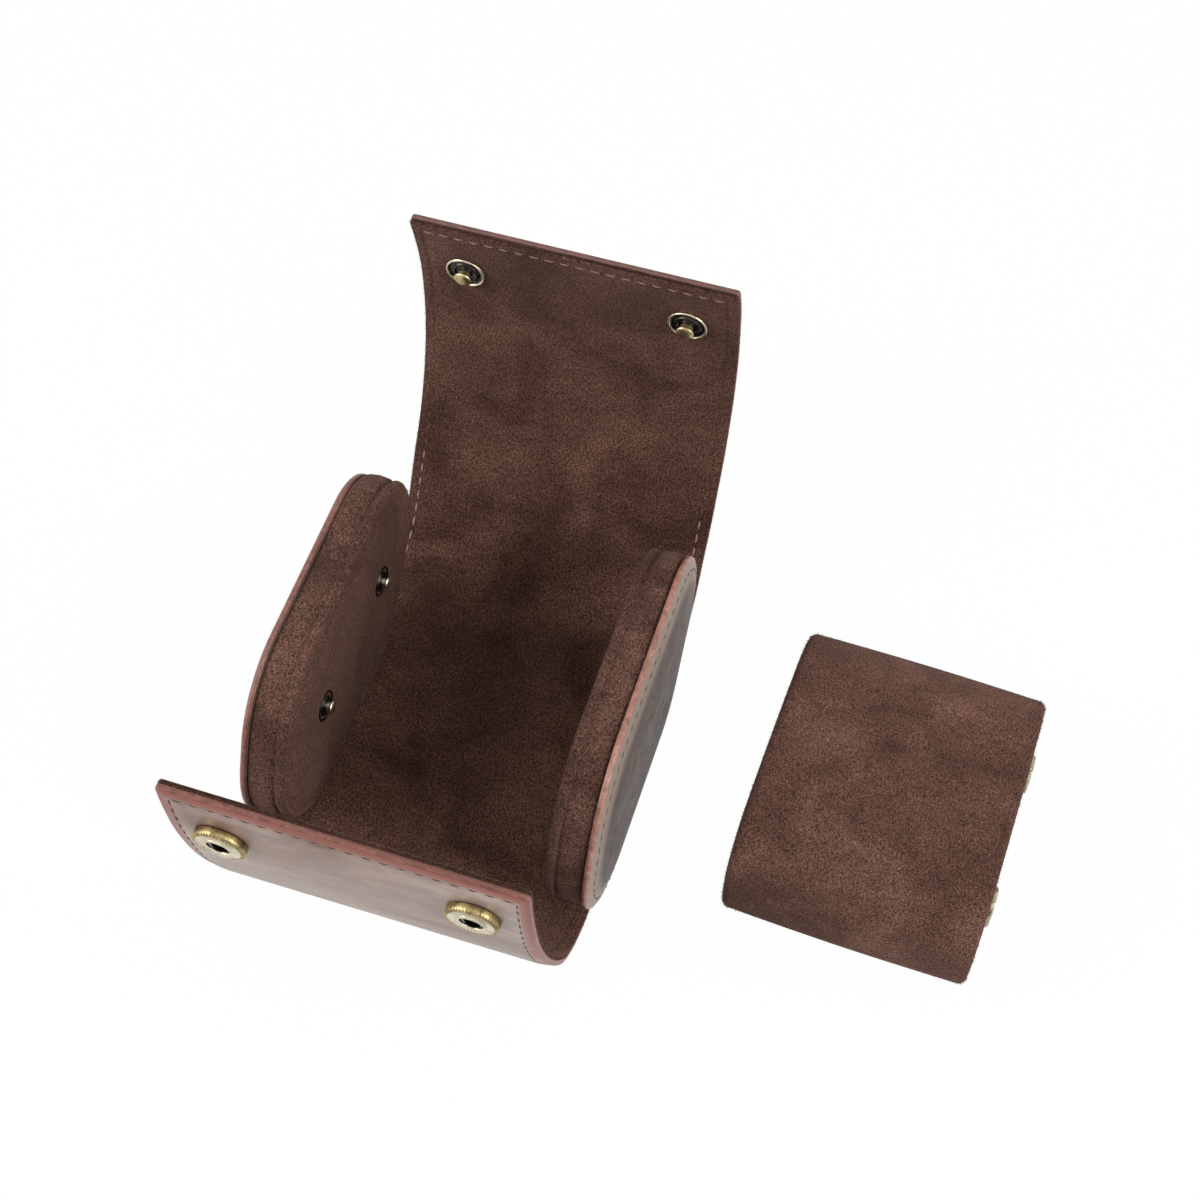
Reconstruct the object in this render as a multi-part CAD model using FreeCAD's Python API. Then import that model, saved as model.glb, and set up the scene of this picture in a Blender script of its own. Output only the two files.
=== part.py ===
import FreeCAD, Part
import math
import os

V = FreeCAD.Vector

# Single-watch roll case, standing open, with its watch cushion lifted out beside it.
# Millimetres. X runs along the roll, from the left cap to the right cap, +Y goes to
# the lid and +Z is up. The origin is on the table, under the flat floor, midway between
# the caps.

# Wrap: one leather strip with a suede lining on its inner face
wrap_width = 81.0
leather_thickness = 1.8
lining_thickness = 1.6
floor_front_length = 32.0       # flat floor, from the origin to the front bend
floor_back_length = 39.8        # flat floor, from the origin to the back bend
fold_gap = 0.3                  # slit between two stretches of the strip at a fold

# Front flap, from the floor up. Radii are those of the outer leather face.
front_bend_radius = 25.4
front_bend_angle = 62.7
front_upper_radius = 145.0
front_upper_length = 69.5
front_fold_y = 27.6             # first fold, in front of the origin
front_second_fold = 51.2        # along the lining from the first fold

# Lid flap, from the floor up
lid_bend_radius = 26.2
lid_bend_angle = 56.7
lid_straight_length = 20.3
lid_upper_radius = 81.0
lid_upper_length = 70.7
lid_fold_y = 20.9               # first fold, behind the origin
lid_second_fold = 48.0          # along the lining from the first fold
lid_third_fold = 61.4

# End caps: a padded suede core with a larger leather disc on its outer side
cap_clearance = 0.8             # between the strip's edge and the disc
disc_thickness = 1.6
disc_overhang = 1.0             # disc beyond the padded core, all round
disc_edge_round = 0.5
pad_depth = 9.4
pad_front = 40.7                # core's reach in front of the origin
pad_back = 44.4                 # core's reach behind the origin
pad_height = 51.4
nose_shortfall = 4.3            # each rounding's radius is half the core's height, less this
heel_shortfall = 4.6
shoulder_shortfall = 7.3
brow_shortfall = 0.4
heel_setback = 10.0             # of the heel's arc, from the back of the core
brow_setback = 2.5              # of the brow's arc, from the front of the core
brow_drop = 0.5                 # of the brow's arc, below the top of the core
suede_thickness = 1.0
board_thickness = 1.5
pad_edge_round = 0.8
fill_clearance = 0.05           # round the fillings inside their suede covers

# Snap fasteners
flap_snap_spacing = 56.0
lid_stud_inset = 16.2           # from the free edge of the lid
front_socket_inset = 15.4       # from the free edge of the front flap
cap_snap_spacing = 37.0
cap_snap_y = 3.5                # middle of the pair on the left cap
cap_snap_z = 30.9
cap_snap_tilt = 1.5             # the pair follows the long axis of the cap
cap_snap_size = 0.8             # the cushion's snaps beside the flaps', which the sizes below are for
snap_bevel = 0.4                # on the edges of the studs and sockets
stud_flange_radius = 5.2
stud_lip_height = 0.9           # raised lip round the flange
stud_lip_width = 1.0
stud_dish_height = 0.5          # flange inside its lip
stud_height = 3.03
stud_neck_radius = 1.5
stud_neck_taper = 0.2           # height over which the neck widens to the head
stud_head_radius = 2.1
stud_head_height = 0.75
socket_radius = 6.0
socket_height = 2.4
socket_mouth_radius = 2.5
socket_lip = 0.3                # wall between the mouth and the chamber
socket_chamber_radius = 3.6
socket_floor = 0.3
spring_wire_radius = 0.25
spring_half_gap = 2.0           # from the axis to the middle of a spring leg
spring_leg_length = 5.0
spring_level = 1.85             # of the legs above the socket's base
rivet_radius = 4.4
rivet_thickness = 0.8
rivet_edge = 0.25               # height of the rivet's rim
rivet_bevel = 1.2
post_radius = 1.0
post_clearance = 0.2

# Watch cushion
cushion_length = 59.2           # along the roll
cushion_depth = 73.7
cushion_height = 35.3
cushion_top_round = 16.0
cushion_foot_round = 13.0
cushion_top_rise = 2.0          # of the rounded top face between its two long edges
cushion_crown = 1.0             # swell of the middle beyond the two ends
cushion_cover_thickness = 1.2
cushion_end_inset = 1.2         # of the flat ends, behind the rim of the cover
cushion_gap = 29.1              # between the right cap and the cushion
cushion_y = 8.5
cushion_turn = -2.4

# Sizes that follow from those above
wrap_thickness = leather_thickness + lining_thickness
half_width = wrap_width / 2
nose_radius = pad_height / 2 - nose_shortfall
heel_radius = pad_height / 2 - heel_shortfall
shoulder_radius = pad_height / 2 - shoulder_shortfall
brow_radius = pad_height / 2 - brow_shortfall
heel_y = pad_back - heel_setback - heel_radius
brow_y = brow_setback + brow_radius - pad_front
disc_inner_x = half_width + cap_clearance
disc_outer_x = disc_inner_x + disc_thickness
cap_rivet_radius = rivet_radius * cap_snap_size
pad_face_x = disc_inner_x - pad_depth
flap_snap_x = flap_snap_spacing / 2
cushion_x = disc_outer_x + cushion_gap + cushion_length / 2


def save(name, shapes):
    """Write one node: a solid, or several loose solids as one group."""
    solids = [solid for shape in shapes for solid in shape.Solids]
    Part.makeCompound(solids).exportStep("parts/" + name + ".step")


class Strip:
    """A flap of the wrap, as runs of (length on the lining, radius on the lining or None)."""

    def __init__(self, start_y, side, runs):
        self.start_y = start_y
        self.side = side            # +1 runs towards the lid, -1 towards the front
        self.runs = runs
        self.length = sum(length for length, radius in runs)

    def local(self, s):
        """Forward distance, height above the lining floor and heading at distance s."""
        forward, height, heading = 0.0, 0.0, 0.0
        for length, radius in self.runs:
            step = min(s, length)
            if radius is None:
                forward += step * math.cos(heading)
                height += step * math.sin(heading)
            else:
                turned_to = heading + step / radius
                forward += radius * (math.sin(turned_to) - math.sin(heading))
                height += radius * (math.cos(heading) - math.cos(turned_to))
                heading = turned_to
            s -= step
            if s <= 0:
                break
        return forward, height, heading

    def point(self, s, depth, x=0.0):
        """A point at distance s along the lining, depth below its face."""
        forward, height, heading = self.local(s)
        forward += depth * math.sin(heading)
        height -= depth * math.cos(heading)
        return V(x, self.start_y + self.side * forward, wrap_thickness + height)

    def outward(self, s):
        """Direction out of the leather face at distance s."""
        heading = self.local(s)[2]
        return V(0, self.side * math.sin(heading), -math.cos(heading))

    def edges(self, start, end, depth, x):
        """Lines and arcs along the strip from start to end, at one depth."""
        made = []
        run_start = 0.0
        for length, radius in self.runs:
            a = max(start, run_start)
            b = min(end, run_start + length)
            run_start += length
            if b - a < 1e-6:
                continue
            first, last = self.point(a, depth, x), self.point(b, depth, x)
            if radius is None:
                made.append(Part.LineSegment(first, last).toShape())
            else:
                made.append(Part.Arc(first, self.point((a + b) / 2, depth, x), last).toShape())
        return made

    def layer(self, start, end, top, bottom):
        """Solid layer of the strip between two distances and two depths."""
        x = -half_width
        upper = self.edges(start, end, top, x)
        lower = self.edges(start, end, bottom, x)
        ends = [Part.LineSegment(self.point(s, top, x), self.point(s, bottom, x)).toShape()
                for s in (start, end)]
        wire = Part.Wire(Part.__sortEdges__(upper + lower + ends))
        return Part.Face(wire).extrude(V(wrap_width, 0, 0))


def turned(points):
    """Body of revolution about Z from a closed outline of (radius, height)."""
    corners = [V(radius, 0, height) for radius, height in points]
    face = Part.Face(Part.makePolygon(corners + corners[:1]))
    return face.revolve(V(0, 0, 0), V(0, 0, 1), 360)


def placed(shape, base, axis):
    """A copy with its own Z axis set along axis, standing at base."""
    copy = shape.copy()
    copy.Placement = FreeCAD.Placement(base, FreeCAD.Rotation(V(0, 0, 1), axis))
    return copy


def stud():
    """Snap stud: a dished flange with a round-headed post."""
    r, lip, bevel = stud_flange_radius, stud_lip_height, snap_bevel
    neck, head, top = stud_neck_radius, stud_head_radius, stud_height
    lip_inside = r - stud_lip_width
    head_foot = top - stud_head_height
    return turned([(0, 0), (r, 0), (r, lip - bevel), (r - bevel, lip), (lip_inside, lip),
                   (lip_inside - bevel, stud_dish_height), (neck, stud_dish_height),
                   (neck, head_foot - stud_neck_taper), (head, head_foot), (head, top - bevel),
                   (head - bevel, top), (0, top)])


def socket():
    """Snap socket: a round can with a chamber for the spring and a mouth for the stud."""
    r, top, bevel = socket_radius, socket_height, snap_bevel
    mouth, chamber = socket_mouth_radius, socket_chamber_radius
    lip = top - socket_lip
    return turned([(0, 0), (r, 0), (r, top - 2 * bevel), (r - bevel, top - bevel), (r - 3 * bevel, top),
                   (mouth, top), (mouth, lip), (chamber, lip), (chamber, socket_floor), (0, socket_floor)])


def spring():
    """The two sprung wire legs that grip the stud's neck."""
    legs = []
    for side in (-1, 1):
        foot = V(side * spring_half_gap, -spring_leg_length / 2, spring_level)
        legs.append(Part.makeCylinder(spring_wire_radius, spring_leg_length, foot, V(0, 1, 0)))
    return Part.makeCompound(legs)


def smaller(shape):
    """The same snap part in the size that the cushion and its cap have."""
    return shape.scaled(cap_snap_size, V(0, 0, 0))


def rivet(grip, radius=rivet_radius):
    """Rivet that holds a snap: a low domed head with a post as long as what it grips."""
    r, t = radius, rivet_thickness
    return turned([(0, -t), (r - rivet_bevel, -t), (r, -rivet_edge), (r, 0), (post_radius, 0),
                   (post_radius, grip), (0, grip)])


def rivet_pocket(base, axis):
    """Room in the foam for the head of one of the cushion's rivets."""
    return Part.makeCylinder(cap_rivet_radius + fill_clearance, rivet_thickness + fill_clearance, base, axis)


def post_hole(base, axis, reach):
    """Round hole for a rivet's post, through both ways along axis."""
    start = base - axis * reach
    return Part.makeCylinder(post_radius + post_clearance, 2 * reach, start, axis)


def belt_outline(circles, x):
    """Closed wire of tangent lines and arcs round circles (y, z, radius), listed anticlockwise."""
    count = len(circles)
    normals = []
    for i in range(count):
        y1, z1, r1 = circles[i]
        y2, z2, r2 = circles[(i + 1) % count]
        travel = math.atan2(z2 - z1, y2 - y1)
        lean = math.asin((r1 - r2) / math.hypot(y2 - y1, z2 - z1))
        normals.append(travel - math.pi / 2 + lean)

    def on_circle(i, angle):
        y, z, r = circles[i]
        return V(x, y + r * math.cos(angle), z + r * math.sin(angle))

    edges = []
    for i in range(count):
        after = (i + 1) % count
        edges.append(Part.LineSegment(on_circle(i, normals[i]), on_circle(after, normals[i])).toShape())
        turn = (normals[after] - normals[i]) % (2 * math.pi)
        middle = on_circle(after, normals[i] + turn / 2)
        edges.append(Part.Arc(on_circle(after, normals[i]), middle,
                              on_circle(after, normals[after])).toShape())
    return Part.Wire(edges)


def cap_slab(grow, x_from, x_to):
    """Slab with the outline of the padded core, grown all round by a margin."""
    pad_top = wrap_thickness + pad_height
    circles = [(heel_y, wrap_thickness + heel_radius, heel_radius + grow),
               (pad_back - shoulder_radius, pad_top - shoulder_radius, shoulder_radius + grow),
               (brow_y, pad_top - brow_drop - brow_radius, brow_radius + grow),
               (nose_radius - pad_front, wrap_thickness + nose_radius, nose_radius + grow)]
    return Part.Face(belt_outline(circles, x_from)).extrude(V(x_to - x_from, 0, 0))


def rim_at(shape, x):
    """The edges of a slab that lie in the plane at x."""
    return [edge for edge in shape.Edges
            if abs(edge.BoundBox.XMin - x) < 1e-6 and abs(edge.BoundBox.XMax - x) < 1e-6]


def mirrored(shape, side):
    """The shape for the right cap (side +1), or its mirror image for the left cap."""
    return shape if side > 0 else shape.mirror(V(0, 0, 0), V(1, 0, 0))


def make_wrap():
    """Both flaps and the floor, each as a leather and a lining layer, with the flap snaps."""
    front = Strip(-front_fold_y, -1, [
        (floor_front_length - front_fold_y, None),
        ((front_bend_radius - wrap_thickness) * math.radians(front_bend_angle),
         front_bend_radius - wrap_thickness),
        (front_upper_length, front_upper_radius - wrap_thickness)])
    lid = Strip(lid_fold_y, 1, [
        (floor_back_length - lid_fold_y, None),
        ((lid_bend_radius - wrap_thickness) * math.radians(lid_bend_angle),
         lid_bend_radius - wrap_thickness),
        (lid_straight_length, None),
        (lid_upper_length, lid_upper_radius - wrap_thickness)])
    floor = Strip(-front_fold_y, 1, [(front_fold_y + lid_fold_y, None)])
    slit = fold_gap / 2
    stretches = [("floor", floor, slit, floor.length - slit),
                 ("front_lower", front, slit, front_second_fold - slit),
                 ("front_upper", front, front_second_fold + slit, front.length),
                 ("lid_lower", lid, slit, lid_second_fold - slit),
                 ("lid_middle", lid, lid_second_fold + slit, lid_third_fold - slit),
                 ("lid_upper", lid, lid_third_fold + slit, lid.length)]
    holes = {"front_upper": flap_holes(front, front_socket_inset),
             "lid_upper": flap_holes(lid, lid_stud_inset)}
    for name, strip, start, end in stretches:
        leather = strip.layer(start, end, lining_thickness, wrap_thickness)
        lining = strip.layer(start, end, 0.0, lining_thickness)
        for hole in holes.get(name, []):
            leather = leather.cut(hole)
            lining = lining.cut(hole)
        save(name + "_leather", [leather])
        save(name + "_lining", [lining])
    make_lid_studs(lid)
    make_front_sockets(front)


def flap_holes(strip, inset):
    """The two rivet holes near the free edge of a flap."""
    s = strip.length - inset
    return [post_hole(strip.point(s, 0.0, x), strip.outward(s), 2 * wrap_thickness)
            for x in (-flap_snap_x, flap_snap_x)]


def make_lid_studs(lid):
    """Studs on the lining of the lid, riveted through from the leather side."""
    s = lid.length - lid_stud_inset
    inward = lid.outward(s) * -1
    lining_radius = lid_upper_radius - wrap_thickness
    lift = stud_flange_radius ** 2 / (2 * lining_radius)    # a flat flange on a hollow face
    studs, rivets = [], []
    for x in (-flap_snap_x, flap_snap_x):
        studs.append(placed(stud(), lid.point(s, 0.0, x) + inward * lift, inward))
        rivets.append(placed(rivet(wrap_thickness + lift), lid.point(s, wrap_thickness, x), inward))
    save("lid_studs", studs)
    save("lid_stud_rivets", rivets)


def make_front_sockets(front):
    """Sockets on the leather of the front flap, riveted through from the lining side."""
    s = front.length - front_socket_inset
    outward = front.outward(s)
    lining_radius = front_upper_radius - wrap_thickness
    lift = rivet_radius ** 2 / (2 * lining_radius)
    sockets, springs, rivets = [], [], []
    for x in (-flap_snap_x, flap_snap_x):
        seat = front.point(s, wrap_thickness, x)
        sockets.append(placed(socket(), seat, outward))
        springs.append(placed(spring(), seat, outward))
        rivets.append(placed(rivet(wrap_thickness + lift), front.point(s, -lift, x), outward))
    save("front_sockets", sockets)
    save("front_socket_springs", springs)
    save("front_socket_rivets", rivets)


def make_cap(name, side, studs=False):
    """One end cap: leather disc, board, foam, suede band and suede face."""
    face_back = pad_face_x + suede_thickness
    board_inner = disc_inner_x - board_thickness
    inside = -suede_thickness - fill_clearance
    disc = cap_slab(disc_overhang, disc_inner_x, disc_outer_x)
    disc = disc.makeFillet(disc_edge_round, rim_at(disc, disc_outer_x))
    band = cap_slab(0.0, face_back, disc_inner_x).cut(cap_slab(-suede_thickness, face_back, disc_inner_x))
    face = cap_slab(0.0, pad_face_x, face_back)
    face = face.makeFillet(pad_edge_round, rim_at(face, pad_face_x))
    foam = cap_slab(inside, face_back, board_inner)
    board = cap_slab(inside, board_inner, disc_inner_x)
    if studs:
        made, rivets = [], []
        slope = math.radians(cap_snap_tilt)
        for step in (-0.5, 0.5):
            y = cap_snap_y + step * cap_snap_spacing * math.cos(slope)
            z = cap_snap_z + step * cap_snap_spacing * math.sin(slope)
            into_case = V(-1, 0, 0)
            back = V(face_back, y, z)
            face = face.cut(post_hole(back, into_case, 2 * suede_thickness))
            foam = foam.cut(rivet_pocket(back, V(1, 0, 0)))
            made.append(mirrored(placed(smaller(stud()), V(pad_face_x, y, z), into_case), side))
            rivets.append(mirrored(placed(rivet(suede_thickness, cap_rivet_radius), back, into_case), side))
        save(name + "_studs", made)
        save(name + "_stud_rivets", rivets)
    for piece, shape in (("leather", disc), ("band", band), ("face", face), ("foam", foam), ("board", board)):
        save(name + "_" + piece, [mirrored(shape, side)])


def cushion_section(x, margin, swell):
    """Cross-section of the cushion at x: flat foot, rounded edges, gently rounded top."""
    half = cushion_depth / 2 - margin - (cushion_crown - swell)
    low = margin
    high = cushion_height - margin - (cushion_crown - swell)
    foot = cushion_foot_round - margin
    top = cushion_top_round - margin
    edge_z = high - cushion_top_rise
    diagonal = math.sqrt(0.5)

    def corner(sign, centre_y, centre_z, radius, up):
        middle = V(x, sign * (centre_y + radius * diagonal), centre_z + up * radius * diagonal)
        side_end = V(x, sign * (centre_y + radius), centre_z)
        flat_end = V(x, sign * centre_y, centre_z + up * radius)
        return side_end, middle, flat_end

    foot_right = corner(1, half - foot, low + foot, foot, -1)
    foot_left = corner(-1, half - foot, low + foot, foot, -1)
    top_right = corner(1, half - top, edge_z - top, top, 1)
    top_left = corner(-1, half - top, edge_z - top, top, 1)
    edges = [Part.LineSegment(foot_left[2], foot_right[2]),
             Part.Arc(foot_right[2], foot_right[1], foot_right[0]),
             Part.LineSegment(foot_right[0], top_right[0]),
             Part.Arc(top_right[0], top_right[1], top_right[2]),
             Part.Arc(top_right[2], V(x, 0, high), top_left[2]),
             Part.Arc(top_left[2], top_left[1], top_left[0]),
             Part.LineSegment(top_left[0], foot_left[0]),
             Part.Arc(foot_left[0], foot_left[1], foot_left[2])]
    return Part.Wire([edge.toShape() for edge in edges])


def cushion_form(margin, half_length):
    """The crowned cushion, drawn in by a margin, cut square at both ends."""
    end = cushion_length / 2
    sections = [cushion_section(-end, margin, 0.0), cushion_section(0.0, margin, cushion_crown),
                cushion_section(end, margin, 0.0)]
    form = Part.makeLoft(sections, True)
    if half_length < end:
        reach = 2 * cushion_depth
        form = form.common(Part.makeBox(2 * half_length, reach, reach, V(-half_length, -reach / 2, -reach / 2)))
    return form


def cushion_end_slab(margin, outer_x, thickness):
    """Flat slab that closes an end of the cover, outer_x being its outer face."""
    inward = -math.copysign(thickness, outer_x)
    return Part.Face(cushion_section(outer_x, margin, 0.0)).extrude(V(inward, 0, 0))


def make_cushion():
    """Watch cushion: suede cover, foam, two boards with suede ends, and its snap sockets."""
    rim = cushion_length / 2
    end = rim - cushion_end_inset
    board_outer = end - suede_thickness
    foam_end = board_outer - board_thickness
    inside = cushion_cover_thickness + fill_clearance
    cover = cushion_form(0.0, rim).cut(cushion_form(cushion_cover_thickness, rim))
    foam = cushion_form(inside, foam_end)
    ends = {-1: cushion_end_slab(inside, -end, suede_thickness),
            1: cushion_end_slab(inside, end, suede_thickness)}
    boards = {-1: cushion_end_slab(inside, -board_outer, board_thickness),
              1: cushion_end_slab(inside, board_outer, board_thickness)}
    sockets, springs, rivets = [], [], []
    out_of_end = V(1, 0, 0)
    grip = suede_thickness + board_thickness
    for step in (-0.5, 0.5):
        y, z = step * cap_snap_spacing, (cushion_height - cushion_crown) / 2
        seat, back = V(end, y, z), V(foam_end, y, z)
        hole = post_hole(seat, out_of_end, 2 * grip)
        ends[1] = ends[1].cut(hole)
        boards[1] = boards[1].cut(hole)
        foam = foam.cut(rivet_pocket(back, V(-1, 0, 0)))
        sockets.append(placed(smaller(socket()), seat, out_of_end))
        springs.append(placed(smaller(spring()), seat, out_of_end))
        rivets.append(placed(rivet(grip, cap_rivet_radius), back, out_of_end))
    beside = FreeCAD.Placement(V(cushion_x, cushion_y, 0), FreeCAD.Rotation(V(0, 0, 1), cushion_turn))
    nodes = {"cushion_cover": [cover], "cushion_foam": [foam],
             "cushion_left_end": [ends[-1]], "cushion_right_end": [ends[1]],
             "cushion_left_board": [boards[-1]], "cushion_right_board": [boards[1]],
             "cushion_sockets": sockets, "cushion_socket_springs": springs,
             "cushion_socket_rivets": rivets}
    for name, shapes in nodes.items():
        save(name, [moved(shape, beside) for shape in shapes])


def moved(shape, placement):
    """A copy carried along by a placement."""
    copy = shape.copy()
    copy.Placement = placement.multiply(copy.Placement)
    return copy


os.makedirs("parts", exist_ok=True)
make_wrap()
make_cap("left_cap", -1, studs=True)
make_cap("right_cap", 1)
make_cushion()
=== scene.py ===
import bpy
from math import asin, atan2, copysign, cos, hypot, pi, radians, sin, sqrt
from random import choice, gauss, randrange, seed, uniform
from mathutils import Matrix, Vector, noise


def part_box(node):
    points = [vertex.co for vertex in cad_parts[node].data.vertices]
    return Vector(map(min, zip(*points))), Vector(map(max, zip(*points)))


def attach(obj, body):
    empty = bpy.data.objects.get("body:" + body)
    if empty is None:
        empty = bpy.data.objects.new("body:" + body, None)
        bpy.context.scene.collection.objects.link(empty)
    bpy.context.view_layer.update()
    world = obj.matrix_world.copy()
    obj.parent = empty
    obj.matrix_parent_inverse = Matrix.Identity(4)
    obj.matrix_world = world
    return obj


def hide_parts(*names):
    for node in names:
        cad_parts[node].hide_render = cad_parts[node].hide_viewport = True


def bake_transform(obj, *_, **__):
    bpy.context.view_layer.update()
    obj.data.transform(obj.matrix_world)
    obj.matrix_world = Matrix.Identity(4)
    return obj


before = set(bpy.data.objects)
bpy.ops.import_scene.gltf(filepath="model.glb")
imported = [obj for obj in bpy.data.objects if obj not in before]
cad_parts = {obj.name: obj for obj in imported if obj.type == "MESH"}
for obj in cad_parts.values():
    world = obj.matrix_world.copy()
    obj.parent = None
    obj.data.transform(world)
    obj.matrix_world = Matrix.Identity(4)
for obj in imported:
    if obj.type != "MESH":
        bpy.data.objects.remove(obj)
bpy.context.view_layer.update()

# Watch roll case standing open, with its watch cushion lifted out beside it.
# Metres. X runs along the roll, +Y goes to the lid and +Z is up.
MM = 0.001
seed(7)


def in_mm(*rows):
    """Rows of millimetres, as tuples of metres."""
    return [tuple(value * MM for value in row) for row in rows]


# Strip: sizes from the frame, then runs of (length, radius or None) along the lining's face
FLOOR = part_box("floor_leather")
HALF_WIDTH = FLOOR[1][0]
LINING_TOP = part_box("floor_lining")[1][2]
LEATHER_TOP = FLOOR[1][2]
WRAP_DEPTH = LINING_TOP
LINING_DEPTH = LINING_TOP - LEATHER_TOP
FRONT_RUNS = [(32.0 * MM, None), (radians(62.7) * 22.0 * MM, 22.0 * MM), (69.5 * MM, 141.6 * MM)]
LID_RUNS = [(39.8 * MM, None), (radians(56.7) * 22.8 * MM, 22.8 * MM), (20.3 * MM, None),
            (70.7 * MM, 77.6 * MM)]
FRONT_END = -sum(length for length, radius in FRONT_RUNS)
LID_END = sum(length for length, radius in LID_RUNS)

# Stretches of the strip, each bending over one fold. Distances run along the lining from the
# origin: name, start, end, start and end of the bend, the bodies, the CAD nodes.
STRETCHES = [
    ("front_top", FRONT_END, -62.0 * MM, -90.8 * MM, -66.8 * MM,
     "front_upper", "front_lower", ["front_upper"]),
    ("front_bend", -62.0 * MM, 0.0, -35.6 * MM, -25.1 * MM,
     "front_lower", "case", ["front_lower", "floor"]),
    ("back_bend", 0.0, 60.0 * MM, 18.4 * MM, 28.9 * MM, "case", "lid_lower", ["lid_lower"]),
    ("lid_bend", 60.0 * MM, 75.6 * MM, 62.4 * MM, 75.4 * MM, "lid_lower", "lid_middle", ["lid_middle"]),
    ("lid_top", 75.6 * MM, LID_END, 75.8 * MM, 88.8 * MM, "lid_middle", "lid_upper", ["lid_upper"])]
STATION_PITCH = 1.0 * MM
FACE_PITCH = 2.2 * MM
WAVER_LENGTH = 14.0 * MM
EDGE_STEPS = [0.0, 0.7 * MM, 1.3 * MM, 1.8 * MM]
CORNER_ROUND = 1.1 * MM
LEATHER_ROUND = 0.5 * MM
LINING_ROUND = 0.42 * MM
HIDDEN_ROUND = 0.16 * MM
EDGE_WAVER = 0.25 * MM
END_SKEW = 1.3 * MM             # how much shorter the front flap is cut on its right
SKEW_REACH = 9.0 * MM
RIM_REACH = 3.4 * MM
PRESS_REACH = 3.4 * MM
EDGE_PRESS = 0.45 * MM          # how far sewing presses each layer down at its edges

# Stitching
STITCH_INSET = 2.8 * MM
STITCH_LINES = [STITCH_INSET + step * MM for step in (-0.5, 0.0, 0.5)]
STITCH_LENGTH = 2.9 * MM
STITCH_PITCH = 3.8 * MM
CAP_STITCH_LENGTH = 2.8 * MM
CAP_STITCH_PITCH = 3.6 * MM
THREAD_RADIUS = 0.22 * MM
STITCH_GROOVE = 0.3 * MM
NAP_COVER = 0.45 * MM           # the nap hides the lining's side rows on the front and at the lid's end
NAP_REACH = 61.0 * MM
UNDER_PADS = 30.0 * MM          # the lining's side rows are hidden under the end caps up to here

# End caps: circles (y, z, radius) that the outline of the padded core wraps round
PAD_CIRCLES = in_mm((13.3, 24.5, 21.1), (26.0, 36.4, 18.4), (-12.9, 29.0, 25.3), (-19.3, 24.8, 21.4))
RIGHT_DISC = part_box("right_cap_leather")
DISC_INNER = RIGHT_DISC[0][0]
DISC_OUTER = RIGHT_DISC[1][0]
DISC_OVERHANG = 1.0 * MM
DISC_FRONT = DISC_OUTER - 0.1 * MM
RIM_WIDTH = 1.45 * MM           # bare edge of a disc, beyond the suede lapped up to it
RIM_ROUND = 0.85 * MM
DISC_DOME = 2.2 * MM
DOME_REACH = 19.0 * MM
DISC_HIGHLIGHT_MARGIN = 9.0 * MM          # painted highlight: paler colour along the rim, for the light caught on its rounded edge
PAINTED_LIGHT_HEIGHTS = (14.0 * MM, 60.0 * MM)              # painted light: the discs' leather is painted paler between these heights, for the light on their upper parts
PAD_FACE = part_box("right_cap_face")[0][0]
OUTLINE_POINTS = 260
BAND_BULGE = 2.2                # the bands are fuller towards their backs
BULGE_START = 12.0 * MM
BULGE_REACH = 22.0 * MM
FOOT_REACH = 9.0 * MM           # height over which the bands flatten towards the floor
LEFT_TRIM = 0.75                # the left disc is cut closer towards its back
TRIM_START = 8.0 * MM
TRIM_REACH = 20.0 * MM
DISC_STITCH_INSET = 2.9 * MM
SEAM_INSET = 2.7 * MM           # stitched seam on the band, from the pad's inner edge

# Snap fasteners
FLAP_SNAP_X = 28.0 * MM
LID_SNAP_INSET = 16.2 * MM
FRONT_SNAP_INSET = 15.4 * MM
STUD_FLANGE = 5.0 * MM
CAP_SNAP_SIZE = 0.8             # of the cushion's snaps, beside those of the flaps
SOCKET_RADIUS = 6.0 * MM
CAP_SNAPS = in_mm((21.99, 31.38), (-14.99, 30.42))
CUSHION_SNAPS = in_mm((-18.5, 17.15), (18.5, 17.15))
LATHE_STEPS = 96
MILLED_BAND = (5.1 * MM, 5.9 * MM)
MILLING_START = 1.8 * MM
MILLING_HEIGHT = 0.16 * MM
MILLING_COUNT = 44

# Cushion
CUSHION_HALF_LENGTH = 29.6 * MM
CUSHION_HALF_DEPTH = 36.85 * MM
CUSHION_HEIGHT = 35.3 * MM
CUSHION_END = CUSHION_HALF_LENGTH - 0.6 * MM        # padded ends, behind the rim of the cover
CUSHION_TOP_ROUND = 16.0 * MM
CUSHION_FOOT_ROUND = 13.0 * MM
CUSHION_TOP_RISE = 2.0 * MM
CUSHION_INSET = 0.35 * MM       # of the cover's ends from the section's full size
CUSHION_SWELL = 0.5 * MM
CUSHION_EDGE_ROUND = 2.0 * MM
CUSHION_POINTS = 180
CLOTH_SCALE = 10.0              # the cover swells as cloth of this scale
CLOTH_PRESSURE = 4.0
CLOTH_STEPS = 20
CUSHION_TURN = Matrix.Rotation(radians(-2.4), 4, "Z")
CUSHION_PLACE = Matrix.Translation((101.6 * MM, 8.5 * MM, 0.0)) @ CUSHION_TURN

# Loose suede fibres: depths of their roots in the lining, lengths and widths, in millimetres
FIBRE_DEPTHS = (0.95, 1.4)
EDGE_LENGTHS = (0.3, 0.9)
PAD_LENGTHS = (0.2, 0.6)
CUSHION_LENGTHS = (0.3, 0.8)
EDGE_WIDTHS = (0.03, 0.06)
PAD_WIDTHS = (0.03, 0.055)

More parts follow.
